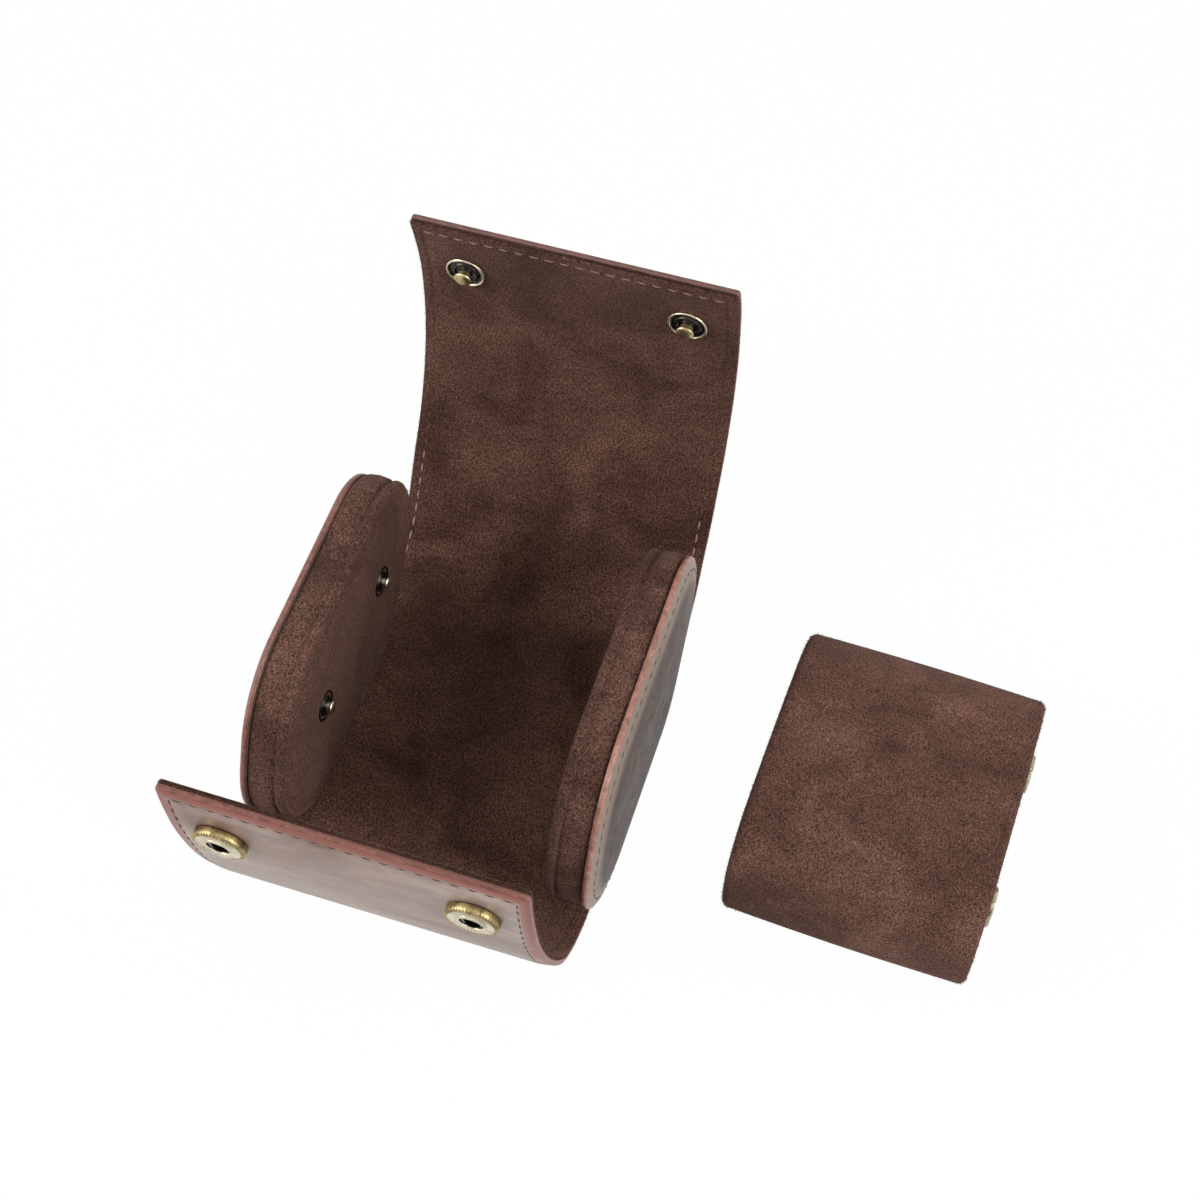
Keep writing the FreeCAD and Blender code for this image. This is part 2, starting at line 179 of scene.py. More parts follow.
# Studio: floor, surroundings, lamps (name, place, power) and the point that they face
FLOOR_REACH = 3.0
FLOOR_WHITENESS = 0.982
WORLD_LEVEL = 0.15
LAMP_SIZE = 0.7
LAMPS = [("left", (-0.8, -0.4, 0.58), 8.9), ("right", (0.88, -0.12, 0.58), 8.8),
         ("top", (0.05, 0.05, 1.0), 1.9)]
MIDDLE = (30.0 * MM, 0.0, 30.0 * MM)

# Camera of the photograph
CAMERA_PLACE = (104.8 * MM, -225.8 * MM, 439.8 * MM)
CAMERA_AZIMUTH = radians(17.78)
CAMERA_ELEVATION = radians(56.33)
CAMERA_LENS = 59.70             # millimetres, on a sensor 36 mm wide


# Materials

def set_inputs(tree, node, inputs):
    """Inputs of a node, each linked to a socket or set to a value."""
    for key, value in inputs.items():
        if isinstance(value, bpy.types.NodeSocket):
            tree.links.new(value, node.inputs[key])
        else:
            node.inputs[key].default_value = value


def add_node(tree, kind, inputs, output=0, **settings):
    """One output of a new shader node."""
    made = tree.nodes.new("ShaderNode" + kind)
    for key, value in settings.items():
        setattr(made, key, value)
    set_inputs(tree, made, inputs)
    return made.outputs[output]


def new_material(name, coords="Object"):
    """A material, its node tree and a texture coordinate in metres."""
    material = bpy.data.materials.new(name)
    material.use_nodes = True
    tree = material.node_tree
    return material, tree, add_node(tree, "TexCoord", {}, coords)


def stretched(tree, place, scale, turn=0.0):
    """The coordinate turned about Z and scaled along each axis."""
    rotation = (0.0, 0.0, radians(turn))
    return add_node(tree, "Mapping", {"Vector": place, "Scale": scale, "Rotation": rotation})


def cloud(tree, place, scale, detail=2.0, distortion=0.0):
    """Noise with about scale cells to the metre, as a grey value."""
    settings = {"Vector": place, "Scale": scale, "Detail": detail, "Distortion": distortion}
    return add_node(tree, "TexNoise", settings, "Fac")


def cells(tree, place, scale):
    """Distance to the middle of irregular cells, for leather grain."""
    return add_node(tree, "TexVoronoi", {"Vector": place, "Scale": scale}, "Distance")


def ramp(tree, value, stops):
    """Colours or greys at stops (position, colour) of a grey value."""
    made = tree.nodes.new("ShaderNodeValToRGB")
    elements = made.color_ramp.elements
    while len(elements) < len(stops):
        elements.new(0.5)
    for element, (position, colour) in zip(elements, stops):
        element.position = position
        shade = colour if isinstance(colour, tuple) else (colour, colour, colour)
        element.color = (*shade, 1.0)
    tree.links.new(value, made.inputs["Fac"])
    return made.outputs["Color"]


def mixed(tree, first, second, blend="MIX", share=1.0):
    """Two colours mixed; share is a number or a grey socket."""
    first, second = [(*colour, 1.0) if isinstance(colour, tuple) else colour for colour in (first, second)]
    inputs = {0: share, 6: first, 7: second}
    return add_node(tree, "Mix", inputs, 2, data_type="RGBA", blend_type=blend)


def shaded(tree, colour, value, stops, share=1.0):
    """The colour darkened by greys at stops of a grey value."""
    return mixed(tree, colour, ramp(tree, value, stops), "MULTIPLY", share)


def set_surface(tree, inputs, layers):
    """The shader's inputs and its bump layers (height, strength, distance)."""
    below = {}
    for height, strength, distance in layers:
        settings = {"Height": height, "Strength": strength, "Distance": distance, **below}
        below = {"Normal": add_node(tree, "Bump", settings)}
    set_inputs(tree, tree.nodes["Principled BSDF"], {**inputs, **below})


def suede(name, dark, light, fineness, coords="Object"):
    """Brushed suede: blotches in the nap, fine fibres and a soft sheen."""
    material, tree, place = new_material(name, coords)
    patches = cloud(tree, place, 48.0, 3.0, 0.8)
    brushed = cloud(tree, stretched(tree, place, (170.0, 420.0, 300.0), 25.0), 1.0, 3.0, 0.8)
    fibres = cloud(tree, stretched(tree, place, (1900.0, 900.0, 1400.0), 35.0), fineness, 3.0, 0.8)
    nap = cloud(tree, place, 1700.0 * fineness, 4.0, 0.3)
    colour = ramp(tree, patches, [(0.32, dark), (0.68, light)])
    colour = shaded(tree, colour, brushed, [(0.3, 0.78), (0.66, 1.0)])
    colour = shaded(tree, colour, nap, [(0.36, 0.2), (0.5, 0.62), (0.64, 1.0)])
    colour = shaded(tree, colour, fibres, [(0.36, 0.35), (0.6, 1.0)], 0.8)
    sheen = {"Sheen Weight": 0.2, "Sheen Roughness": 0.45, "Sheen Tint": (0.62, 0.4, 0.32, 1.0)}
    set_surface(tree, {"Base Color": colour, "Roughness": 0.95, "Specular IOR Level": 0.12, **sheen},
                [(patches, 0.35, 1.2 * MM), (brushed, 0.35, 0.4 * MM), (fibres, 0.8, 0.5 * MM),
                 (nap, 0.9, 0.5 * MM)])
    return material


def height_share(tree, place, low, high):
    """0 up to a low place and 1 from a high place along Z."""
    height = add_node(tree, "SeparateXYZ", {0: place}, "Z")
    return add_node(tree, "MapRange", {"Value": height, "From Min": low, "From Max": high}, "Result")


def leather(name, dark, light, edge, shine, gloss, coords="Object", painted_top_light=None):
    """Oiled pull-up leather: cloudy wax (on the wrap its pale tone is partly painted reflection), scuffs,
    grain, a coloured margin (a real redder band on the wrap, painted highlight on the discs), painted light
    paler higher up.
    """
    material, tree, place = new_material(name, coords)
    wax = cloud(tree, stretched(tree, place, (20.0, 40.0, 40.0)), 1.0, 4.0, 0.5)
    scuffs = cloud(tree, stretched(tree, place, (120.0, 260.0, 260.0), 12.0), 1.0, 6.0, 0.8)
    grain = cells(tree, place, 1500.0)
    colour = ramp(tree, wax, [(0.32, dark), (0.68, light)])
    colour = shaded(tree, colour, scuffs, [(0.38, 0.74), (0.56, 1.0)])
    # painted light: the colour turns paler towards the top, where more light falls
    if painted_top_light:
        colour = mixed(tree, colour, painted_top_light, "MIX", height_share(tree, place, *PAINTED_LIGHT_HEIGHTS))
    # margin colour from the rim attribute: on the wrap a real redder band, on the discs a painted highlight
    # along the rim
    margin = add_node(tree, "Attribute", {}, "Fac", attribute_name="rim")
    share = ramp(tree, margin, [(0.1, 0.0), (0.42, 0.7), (0.9, 1.0)])
    colour = mixed(tree, colour, edge, "MIX", share)
    roughness = ramp(tree, scuffs, [(0.3, gloss), (0.7, gloss + 0.16)])
    set_surface(tree, {"Base Color": colour, "Roughness": roughness, "Specular IOR Level": shine},
                [(wax, 0.2, 0.6 * MM), (scuffs, 0.25, 0.12 * MM), (grain, 0.25, 0.06 * MM)])
    return material


def cut_edge(name, dark, light, coords="Object"):
    """Burnished cut edge of leather, streaked along its length."""
    material, tree, place = new_material(name, coords)
    streaks = cloud(tree, place, 420.0, 4.0, 0.4)
    specks = cloud(tree, place, 1500.0, 2.0)
    colour = ramp(tree, streaks, [(0.3, dark), (0.7, light)])
    colour = shaded(tree, colour, specks, [(0.3, 0.7), (0.6, 1.0)])
    set_surface(tree, {"Base Color": colour, "Roughness": 0.42},
                [(streaks, 0.4, 0.25 * MM), (specks, 0.3, 0.1 * MM)])
    return material


def thread(name, dark, light):
    """Twisted sewing thread."""
    material, tree, place = new_material(name)
    twist = cloud(tree, place, 2400.0, 2.0)
    colour = ramp(tree, twist, [(0.3, dark), (0.65, light)])
    set_surface(tree, {"Base Color": colour, "Roughness": 0.75}, [(twist, 0.5, 0.12 * MM)])
    return material


def metal(name, dark, light, gloss):
    """Plated metal with an uneven, antiqued tarnish."""
    material, tree, place = new_material(name)
    tarnish = cloud(tree, place, 420.0, 4.0, 0.5)
    scratches = cloud(tree, stretched(tree, place, (2600.0, 300.0, 900.0), 20.0), 1.0, 2.0)
    colour = ramp(tree, tarnish, [(0.3, dark), (0.62, light)])
    roughness = ramp(tree, scratches, [(0.3, gloss), (0.7, gloss + 0.16)])
    set_surface(tree, {"Base Color": colour, "Roughness": roughness, "Metallic": 1.0},
                [(scratches, 0.15, 0.04 * MM)])
    return material


def filling(name, dark, light, pores):
    """Foam or fibre board inside the pads."""
    material, tree, place = new_material(name)
    holes = cells(tree, place, pores)
    colour = ramp(tree, holes, [(0.1, dark), (0.6, light)])
    set_surface(tree, {"Base Color": colour, "Roughness": 0.9}, [(holes, 0.5, 0.3 * MM)])
    return material


LINING = suede("suede_lining", (0.14, 0.062, 0.042), (0.31, 0.153, 0.108), 1.2, "UV")
LINING_EDGE = suede("suede_lining_edge", (0.15, 0.07, 0.048), (0.26, 0.13, 0.094), 1.2, "UV")
PAD_SUEDE = suede("suede_pads", (0.172, 0.079, 0.055), (0.345, 0.172, 0.126), 1.45)
# painted shade: a darker copy of the pads' suede for the pads' faces, which lie in shade beside the lit
# bands
SHADED_FACE_SUEDE = suede("suede_pad_faces_painted_shade", (0.138, 0.063, 0.044), (0.276, 0.138, 0.1), 1.45)
CUSHION_SUEDE = suede("suede_cushion", (0.2, 0.094, 0.066), (0.42, 0.208, 0.152), 1.7)
FUZZ = suede("suede_fibres", (0.16, 0.08, 0.055), (0.3, 0.155, 0.11), 1.7)
# wrap leather: its pale wax tone is partly real wax bloom, partly painted reflection of the white floor
WRAP_LEATHER = leather("leather_wrap", (0.235, 0.13, 0.094), (0.49, 0.385, 0.335), (0.26, 0.064, 0.038),
                       0.42, 0.33, "UV")
# discs' leather: its edge colour is a painted highlight along the rims, its top colour painted light on
# their upper parts
DISC_LEATHER = leather("leather_discs", (0.028, 0.018, 0.015), (0.058, 0.039, 0.033), (0.27, 0.215, 0.18),
                       0.22, 0.45, painted_top_light=(0.11, 0.08, 0.067))
WRAP_EDGE = cut_edge("leather_wrap_edge", (0.12, 0.04, 0.028), (0.28, 0.1, 0.072), "UV")
LID_EDGE = cut_edge("leather_lid_edge", (0.085, 0.036, 0.026), (0.21, 0.088, 0.063), "UV")
# lit and shaded copies of one rim leather: painted light on the right rim, painted shade on the left
LIT_RIGHT_RIM = cut_edge("leather_right_rim_painted_light", (0.24, 0.1, 0.076), (0.5, 0.235, 0.18))
SHADED_LEFT_RIM = cut_edge("leather_left_rim_painted_shade", (0.15, 0.055, 0.04), (0.33, 0.135, 0.1))
DARK_THREAD = thread("thread_dark", (0.06, 0.029, 0.021), (0.13, 0.064, 0.047))
TAN_THREAD = thread("thread_tan", (0.22, 0.13, 0.1), (0.4, 0.26, 0.205))
BRASS = metal("antique_brass", (0.24, 0.175, 0.08), (0.58, 0.47, 0.26), 0.28)
PALE_BRASS = metal("worn_brass", (0.42, 0.37, 0.25), (0.72, 0.66, 0.5), 0.22)
AGED_BRASS = metal("aged_brass", (0.13, 0.095, 0.042), (0.4, 0.31, 0.15), 0.26)
GREYED_BRASS = metal("greyed_brass", (0.07, 0.06, 0.042), (0.4, 0.36, 0.26), 0.26)
TARNISH = metal("blackened_brass", (0.012, 0.01, 0.009), (0.05, 0.045, 0.04), 0.22)
STEEL = metal("spring_steel", (0.3, 0.29, 0.27), (0.6, 0.58, 0.55), 0.25)
FOAM = filling("foam", (0.02, 0.02, 0.02), (0.09, 0.085, 0.08), 900.0)
BOARD = filling("fibre_board", (0.10, 0.065, 0.04), (0.2, 0.14, 0.09), 1800.0)


# Mesh helpers

def placed(name, data):
    """A new object in the scene."""
    made = bpy.data.objects.new(name, data)
    bpy.context.scene.collection.objects.link(made)
    return made


def make_object(name, vertices, faces, materials, slots=None, uvs=None, rim=None):
    """A smooth mesh object; uvs holds a pair for each corner of each face."""
    mesh = bpy.data.meshes.new(name)
    mesh.from_pydata(vertices, [], faces)
    for material in materials:
        mesh.materials.append(material)
    if slots:
        mesh.polygons.foreach_set("material_index", slots)
    if uvs:
        layer = mesh.uv_layers.new(name="along_strip")
        layer.data.foreach_set("uv", [value for face in uvs for pair in face for value in pair])
    if rim:
        mesh.attributes.new("rim", "FLOAT", "POINT").data.foreach_set("value", rim)
    mesh.polygons.foreach_set("use_smooth", [True] * len(faces))
    mesh.update()
    return placed(name, mesh)


def fixed(piece, body):
    """The piece, riding on a body."""
    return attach(piece, body)


def flat(rings):
    """All points of some rings, one ring after another."""
    return [point for ring in rings for point in ring]


def smoothstep(value):
    """0 to 1, with a gentle start and finish."""
    value = min(max(value, 0.0), 1.0)
    return value * value * (3.0 - 2.0 * value)


def joined_rings(rings, closed=True):
    """Faces between rings of equal count, and over both ends of a closed form."""
    count = len(rings[0])
    faces = []
    for i in range(len(rings) - 1):
        for j in range(count):
            after = (j + 1) % count
            faces.append((i * count + j, i * count + after, (i + 1) * count + after, (i + 1) * count + j))
    if closed:
        first = (len(rings) - 1) * count
        faces.append(tuple(reversed(range(count))))
        faces.append(tuple(range(first, first + count)))
    return faces


# Wrap: the strip of leather and its suede lining

def follow(runs, distance):
    """Forward distance, height and heading after a distance along runs."""
    forward, height, heading = 0.0, 0.0, 0.0
    for length, radius in runs:
        step = min(distance, length)
        if radius is None:
            forward += step * cos(heading)
            height += step * sin(heading)
        else:
            turned_to = heading + step / radius
            forward += radius * (sin(turned_to) - sin(heading))
            height += radius * (cos(heading) - cos(turned_to))
            heading = turned_to
        distance -= step
        if distance <= 0:
            break
    return forward, height, heading


def strip_frame(s):
    """Point on the lining's face at distance s, and the way out of it."""
    side = 1 if s >= 0 else -1
    forward, height, heading = follow(LID_RUNS if side > 0 else FRONT_RUNS, abs(s))
    point = Vector((0.0, side * forward, LINING_TOP + height))
    return point, Vector((0.0, -side * sin(heading), cos(heading)))


def strip_point(s, x, depth):
    """Point of the strip at distance s, x across it and depth below the lining's face."""
    from_front = s - FRONT_END
    trimmed = smoothstep((SKEW_REACH - from_front) / (SKEW_REACH - STITCH_INSET))
    point, up = strip_frame(s + END_SKEW * trimmed * (0.5 + 0.5 * x / HALF_WIDTH))
    return point - up * depth + Vector((x, 0.0, 0.0))


def end_distance(s):
    """Distance from the nearer free end of the strip."""
    return max(min(s - FRONT_END, LID_END - s), 0.0)


def half_width_at(s):
    """Half width at distance s: rounded corners and a hand-cut waver."""
    waver = EDGE_WAVER * (0.5 + 0.5 * noise.noise(Vector((s / WAVER_LENGTH, 3.0, 0.0))))
    missing = max(CORNER_ROUND - end_distance(s), 0.0)
    return HALF_WIDTH - waver - (CORNER_ROUND - sqrt(CORNER_ROUND ** 2 - missing ** 2))


def stations(start, end):
    """Distances from start to end, closer together towards a free end."""
    round_steps = [LEATHER_ROUND * (1.0 - sin(radians(angle))) for angle in (90, 65, 42, 20, 0)]
    offsets = sorted(set(EDGE_STEPS[1:] + STITCH_LINES + round_steps))
    places = []
    low, high = start, end
    if start == FRONT_END:
        places += [start + offset for offset in offsets]
        low = places[-1]
    if end == LID_END:
        places += [end - offset for offset in offsets]
        high = min(places)
    count = max(round((high - low) / STATION_PITCH), 1)
    places += [low + (high - low) * i / count for i in range(count + 1)]
    return sorted(set(round(place, 7) for place in places))


def face_lines():
    """Positions across the visible face, from edge to edge."""
    side = [HALF_WIDTH - offset for offset in [LEATHER_ROUND] + EDGE_STEPS[2:] + STITCH_LINES]
    count = round(2 * side[-1] / FACE_PITCH)
    middle = [side[-1] * (1.0 - 2.0 * i / count) for i in range(1, count)]
    return side + middle + [-x for x in reversed(side)]


def groove_at(x, s):
    """How far the stitch row sinks the face at a point of it."""
    from_side, from_end = HALF_WIDTH - abs(x), end_distance(s)
    on_side = abs(from_side - STITCH_INSET) < 1e-6 and from_end > STITCH_INSET - 1e-6
    on_end = abs(from_end - STITCH_INSET) < 1e-6 and from_side > STITCH_INSET - 1e-6
    return STITCH_GROOVE if on_side or on_end else 0.0


def pressed(x, s):
    """How far sewing presses a layer down at a point of its face."""
    margin = min(HALF_WIDTH - abs(x), end_distance(s))
    return EDGE_PRESS * smoothstep(1.0 - margin / PRESS_REACH)


def layer_ring(s, visible, hidden):
    """Section of one layer at distance s: points, distances from the edge, edge or not."""
    is_lining = hidden > visible
    inward = 1.0 if is_lining else -1.0
    radius = LINING_ROUND if is_lining else LEATHER_ROUND
    width = half_width_at(s) / HALF_WIDTH
    from_end = end_distance(s)
    sunk = radius - sqrt(radius ** 2 - max(radius - from_end, 0.0) ** 2)
    bottom = hidden - inward * sunk * HIDDEN_ROUND / radius

    def face_depth(x):
        return visible + inward * (sunk + pressed(x, s))

    ring = [(x, bottom, False) for x in (0.0, HALF_WIDTH / 2, HALF_WIDTH - HIDDEN_ROUND)]
    ring.append((HALF_WIDTH, bottom - inward * HIDDEN_ROUND, True))
    for angle in (80, 45, 15):
        turn = radians(angle)
        x = HALF_WIDTH - radius * (1.0 - sin(turn))
        ring.append((x, face_depth(HALF_WIDTH) + inward * radius * (1.0 - cos(turn)), True))
    edge = list(reversed(ring))
    ring += [(x, face_depth(x) + inward * groove_at(x, s), False) for x in face_lines()]
    ring += [(-x, depth, is_edge) for x, depth, is_edge in edge[:-1]]
    points = [strip_point(s, x * width, depth) for x, depth, is_edge in ring]
    margins = [min(HALF_WIDTH - abs(x), from_end) for x, depth, is_edge in ring]
    return points, margins, [is_edge for x, depth, is_edge in ring]


def strip_layer(name, start, end, visible, hidden, face_material, edge_material):
    """One stretch of the leather or of the lining, as a closed sheet."""
    places = stations(start, end)
    rings, rim, uvs, slots = [], [], [], []
    for s in places:
        points, margins, is_edge = layer_ring(s, visible, hidden)
        rings.append(points)
        rim += [smoothstep(1.0 - margin / RIM_REACH) for margin in margins]
    count = len(rings[0])
    middle = rings[len(rings) // 2]
    around = [0.0]
    for j in range(count):
        around.append(around[-1] + (middle[(j + 1) % count] - middle[j]).length)
    faces = joined_rings(rings, closed=False)
    for i in range(len(places) - 1):
        for j in range(count):
            u, v = (around[j], around[j + 1]), (places[i], places[i + 1])
            uvs.append([(u[0], v[0]), (u[1], v[0]), (u[1], v[1]), (u[0], v[1])])
            near_end = end_distance((v[0] + v[1]) / 2) < LEATHER_ROUND * 0.6
            slots.append(1 if near_end or (is_edge[j] and is_edge[(j + 1) % count]) else 0)
    vertices = flat(rings)
    for first, s in ((0, places[0]), (len(vertices) - count, places[-1])):
        loop = list(range(first, first + count))
        if end_distance(s) > 1e-6:
            loop = list(range(len(vertices), len(vertices) + count))
            vertices += [vertices[first + j] for j in range(count)]
            rim += rim[first:first + count]
        order = list(range(count)) if first else list(reversed(range(count)))
        faces.append(tuple(loop[j] for j in order))
        uvs.append([(around[j], s) for j in order])
        slots.append(1)
    if hidden > visible:
        faces = [face[::-1] for face in faces]
        uvs = [face[::-1] for face in uvs]
    return make_object(name, vertices, faces, [face_material, edge_material], slots, uvs, rim)


def bent(piece, stretch):
    """The piece with its place baked into its points; the stretch's bend is not applied."""
    name, start, end, bend_start, bend_end, body_a, body_b, nodes = stretch
    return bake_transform(piece, body_a, body_b, strip_frame(bend_start)[0], strip_frame(bend_end)[0])


def stitch(path, up, length, lift):
    """Points and faces of one stitch along path(t), with t from 0 to length."""
    rings = []
    for t in (0.0, 0.12, 0.5, 0.88, 1.0):
        centre, ahead = path(t * length), path(t * length + 0.05 * MM)
        along = (ahead - centre).normalized()
        across = up.cross(along).normalized()
        swell = 0.55 + 0.45 * sin(pi * t)
        sink = THREAD_RADIUS * 2.2 * (2.0 * t - 1.0) ** 4
        middle = centre + up * (lift - THREAD_RADIUS - sink)
        rings.append([middle + (across * cos(a) * 1.25 + up * sin(a)) * THREAD_RADIUS * swell
                      for a in (radians(60 * k) for k in range(6))])
    return flat(rings), joined_rings(rings)


def add_part(vertices, faces, part):
    """Add the points and faces of one part to growing lists."""
    first = len(vertices)
    vertices += part[0]
    faces += [tuple(first + index for index in face) for face in part[1]]


def strip_stitches(stretch, on_lining):
    """All stitches of one stretch on its lining or its leather side."""
    name, start, end = stretch[:3]
    press = pressed(HALF_WIDTH - STITCH_INSET, 0.0)
    depth = press if on_lining else WRAP_DEPTH - press
    lift = 0.1 * MM if on_lining else 0.0
    vertices, faces, slots = [], [], []
    reach = HALF_WIDTH - STITCH_INSET
    first, last = FRONT_END + STITCH_INSET, LID_END - STITCH_INSET
    count = round((last - first) / STITCH_PITCH)
    for i in range(count):
        s = first + (last - first) * (i + 0.1) / count
        hidden = on_lining and abs(s) < UNDER_PADS
        if hidden or not start <= s < end:
            continue
        up = strip_frame(s + STITCH_LENGTH / 2)[1] * (1.0 if on_lining else -1.0)
        buried = 1.0 if s < 0.0 else smoothstep(1.6 - end_distance(s) / NAP_REACH)
        sunk = NAP_COVER * buried if on_lining else 0.0
        for x in (-reach, reach):
            path = lambda t: strip_point(s + t, x, depth + sunk)
            part = stitch(path, up, STITCH_LENGTH, lift)
            add_part(vertices, faces, part)
            # painted shade: stitches sunk in the nap take the dark thread, for the nap's shade over them
            slots += [1 if on_lining and buried > 0.3 else 0] * len(part[1])
    for s in (first, last):
        if not start <= s < end:
            continue
        up = strip_frame(s)[1] * (1.0 if on_lining else -1.0)
        count = round(2 * reach / STITCH_PITCH)
        for i in range(count):
            x = -reach + 2 * reach * (i + 0.1) / count
            part = stitch(lambda t: strip_point(s, x + t, depth), up, STITCH_LENGTH, lift)
            add_part(vertices, faces, part)
            slots += [0] * len(part[1])
    side, slot, threads = "leather", "oiled_leather", [DARK_THREAD]
    if on_lining:
        side, slot, threads = "lining", "suede", [TAN_THREAD, DARK_THREAD]
    piece = make_object("stitches_" + side + "_" + name, vertices, faces, threads, slots)
    return bent(piece, stretch)


def fibre(root, direction, length, thickness):
    """One suede fibre, as a slim spike."""
    across = direction.orthogonal().normalized()
    over = direction.cross(across).normalized()
    foot = [root + (across * cos(a) + over * sin(a)) * thickness
            for a in (radians(120 * k) for k in range(3))]
    return foot + [root + direction.normalized() * length], [(0, 2, 1), (0, 1, 3), (1, 2, 3), (2, 0, 3)]


def scatter_direction(outward, spread):
    """A direction near outward, turned by a random amount."""
    off = Vector((gauss(0, spread), gauss(0, spread), gauss(0, spread)))
    return (outward + off).normalized()


def lining_fuzz(stretch, per_mm=7.0):
    """Loose fibres along the cut edges of the lining on one stretch."""
    name, start, end = stretch[:3]
    vertices, faces = [], []
    roots = []
    for i in range(int((end - start) / MM * per_mm)):
        s = uniform(start, end)
        for side in (-1, 1):
            depth = uniform(*FIBRE_DEPTHS) * MM
            root = strip_point(s, side * (half_width_at(s) - 0.15 * MM), depth)
            roots.append((root, Vector((side, 0, 0)), s))
    for edge in (FRONT_END, LID_END):
        if edge not in (start, end):
            continue
        outward = (strip_point(edge, 0, 0) - strip_point(edge - copysign(MM, edge), 0, 0)).normalized()
        for i in range(int(2 * HALF_WIDTH / MM * per_mm * 3.5)):
            x = uniform(-HALF_WIDTH + MM, HALF_WIDTH - MM)
            depth = uniform(*FIBRE_DEPTHS) * MM
            roots.append((strip_point(edge, x, depth) - outward * 0.15 * MM, outward, edge))
    for root, outward, s in roots:
        direction = scatter_direction(outward + strip_frame(s)[1] * 0.35, 0.4)
        length = uniform(*EDGE_LENGTHS) * MM
        add_part(vertices, faces, fibre(root, direction, length, uniform(*EDGE_WIDTHS) * MM))
    piece = make_object("fibres_lining_" + name, vertices, faces, [FUZZ])
    return bent(piece, stretch)


def make_wrap():
    """The strip's leather and lining, its stitches and its fibres."""
    for stretch in STRETCHES:
        name, start, end = stretch[:3]
        edge = LID_EDGE if start > 0.0 else WRAP_EDGE
        outside = strip_layer("leather_" + name, start, end, WRAP_DEPTH, LINING_DEPTH, WRAP_LEATHER, edge)
        inside = strip_layer("lining_" + name, start, end, 0.0, LINING_DEPTH, LINING, LINING_EDGE)
        for piece, layer, slot in ((outside, "_leather", "oiled_leather"), (inside, "_lining", "suede")):
            bent(piece, stretch)
            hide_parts(*[node + layer for node in stretch[-1]])
        strip_stitches(stretch, True)
        strip_stitches(stretch, False)
        lining_fuzz(stretch)


# End caps

def belt(circles, count):
    """Even points of a tight belt round circles (y, z, radius), with their outward directions."""
    total = len(circles)
    pairs = list(zip(circles, circles[1:] + circles[:1]))
    angles = []
    for (y1, z1, r1), (y2, z2, r2) in pairs:
        travel = atan2(z2 - z1, y2 - y1)
        angles.append(travel - pi / 2 + asin((r1 - r2) / hypot(y2 - y1, z2 - z1)))
    runs = []
    for i, ((y1, z1, r1), (y2, z2, r2)) in enumerate(pairs):
        straight = sqrt((y2 - y1) ** 2 + (z2 - z1) ** 2 - (r1 - r2) ** 2)
        runs.append((straight, angles[i], 0.0, i))
        turn = (angles[(i + 1) % total] - angles[i]) % (2 * pi)
        runs.append((turn * r2, angles[i], turn, (i + 1) % total))
    length = sum(run[0] for run in runs)
    points, outward = [], []
    for k in range(count):
        distance = length * k / count
        for run_length, angle, turn, i in runs:
            if distance <= run_length:
                break
            distance -= run_length
        y, z, radius = circles[i]
        heading = angle + (turn * distance / run_length if turn else 0.0)
        normal = Vector((0.0, cos(heading), sin(heading)))
        along = Vector((0.0, -sin(heading), cos(heading))) * (0.0 if turn else distance)
        points.append(Vector((0.0, y, z)) + normal * radius + along)
        outward.append(normal)
    return points, outward, length


PAD_POINTS, PAD_OUTWARD, PAD_LENGTH = belt(PAD_CIRCLES, OUTLINE_POINTS)


def cap_rings(profile, side, settle=False):
    """Rings round a cap from a profile of (growth, x), mirrored for the left cap."""
    rings = []
    for growth, x in profile:
        ring = []
        for point, normal in zip(PAD_POINTS, PAD_OUTWARD):
            bulge = growth
            if settle and growth > 0.0:
                fuller = 1.0 + BAND_BULGE * smoothstep((point.y - BULGE_START) / BULGE_REACH)
                bulge *= fuller * smoothstep((point.z - LINING_TOP) / FOOT_REACH)
            elif growth > 0.0 and side < 0:
                bulge *= 1.0 - LEFT_TRIM * smoothstep((point.y - TRIM_START) / TRIM_REACH)
            place = point + normal * bulge
            ring.append(Vector((side * x, place.y, place.z)))
        rings.append(ring if side > 0 else ring[::-1])
    return rings


def cap_piece(name, profile, side, materials, slot_of=None, settle=False, rim=None):
    """A piece of a cap, lofted round its outline."""
    rings = cap_rings(profile, side, settle)
    faces = joined_rings(rings)
    slots = None
    if slot_of:
        slots = [slot_of[i // OUTLINE_POINTS] for i in range(OUTLINE_POINTS * (len(rings) - 1))]
        slots += [0] * (len(faces) - len(slots))
    margins = [value for value in rim for k in range(OUTLINE_POINTS)] if rim else None
    return make_object(name, flat(rings), faces, materials, slots, rim=margins)


def disc_level(inset):
    """Level of a disc's domed face at a distance in from its rim."""
    return DISC_FRONT + DISC_DOME * (1.0 - (1.0 - inset / DOME_REACH) ** 2)


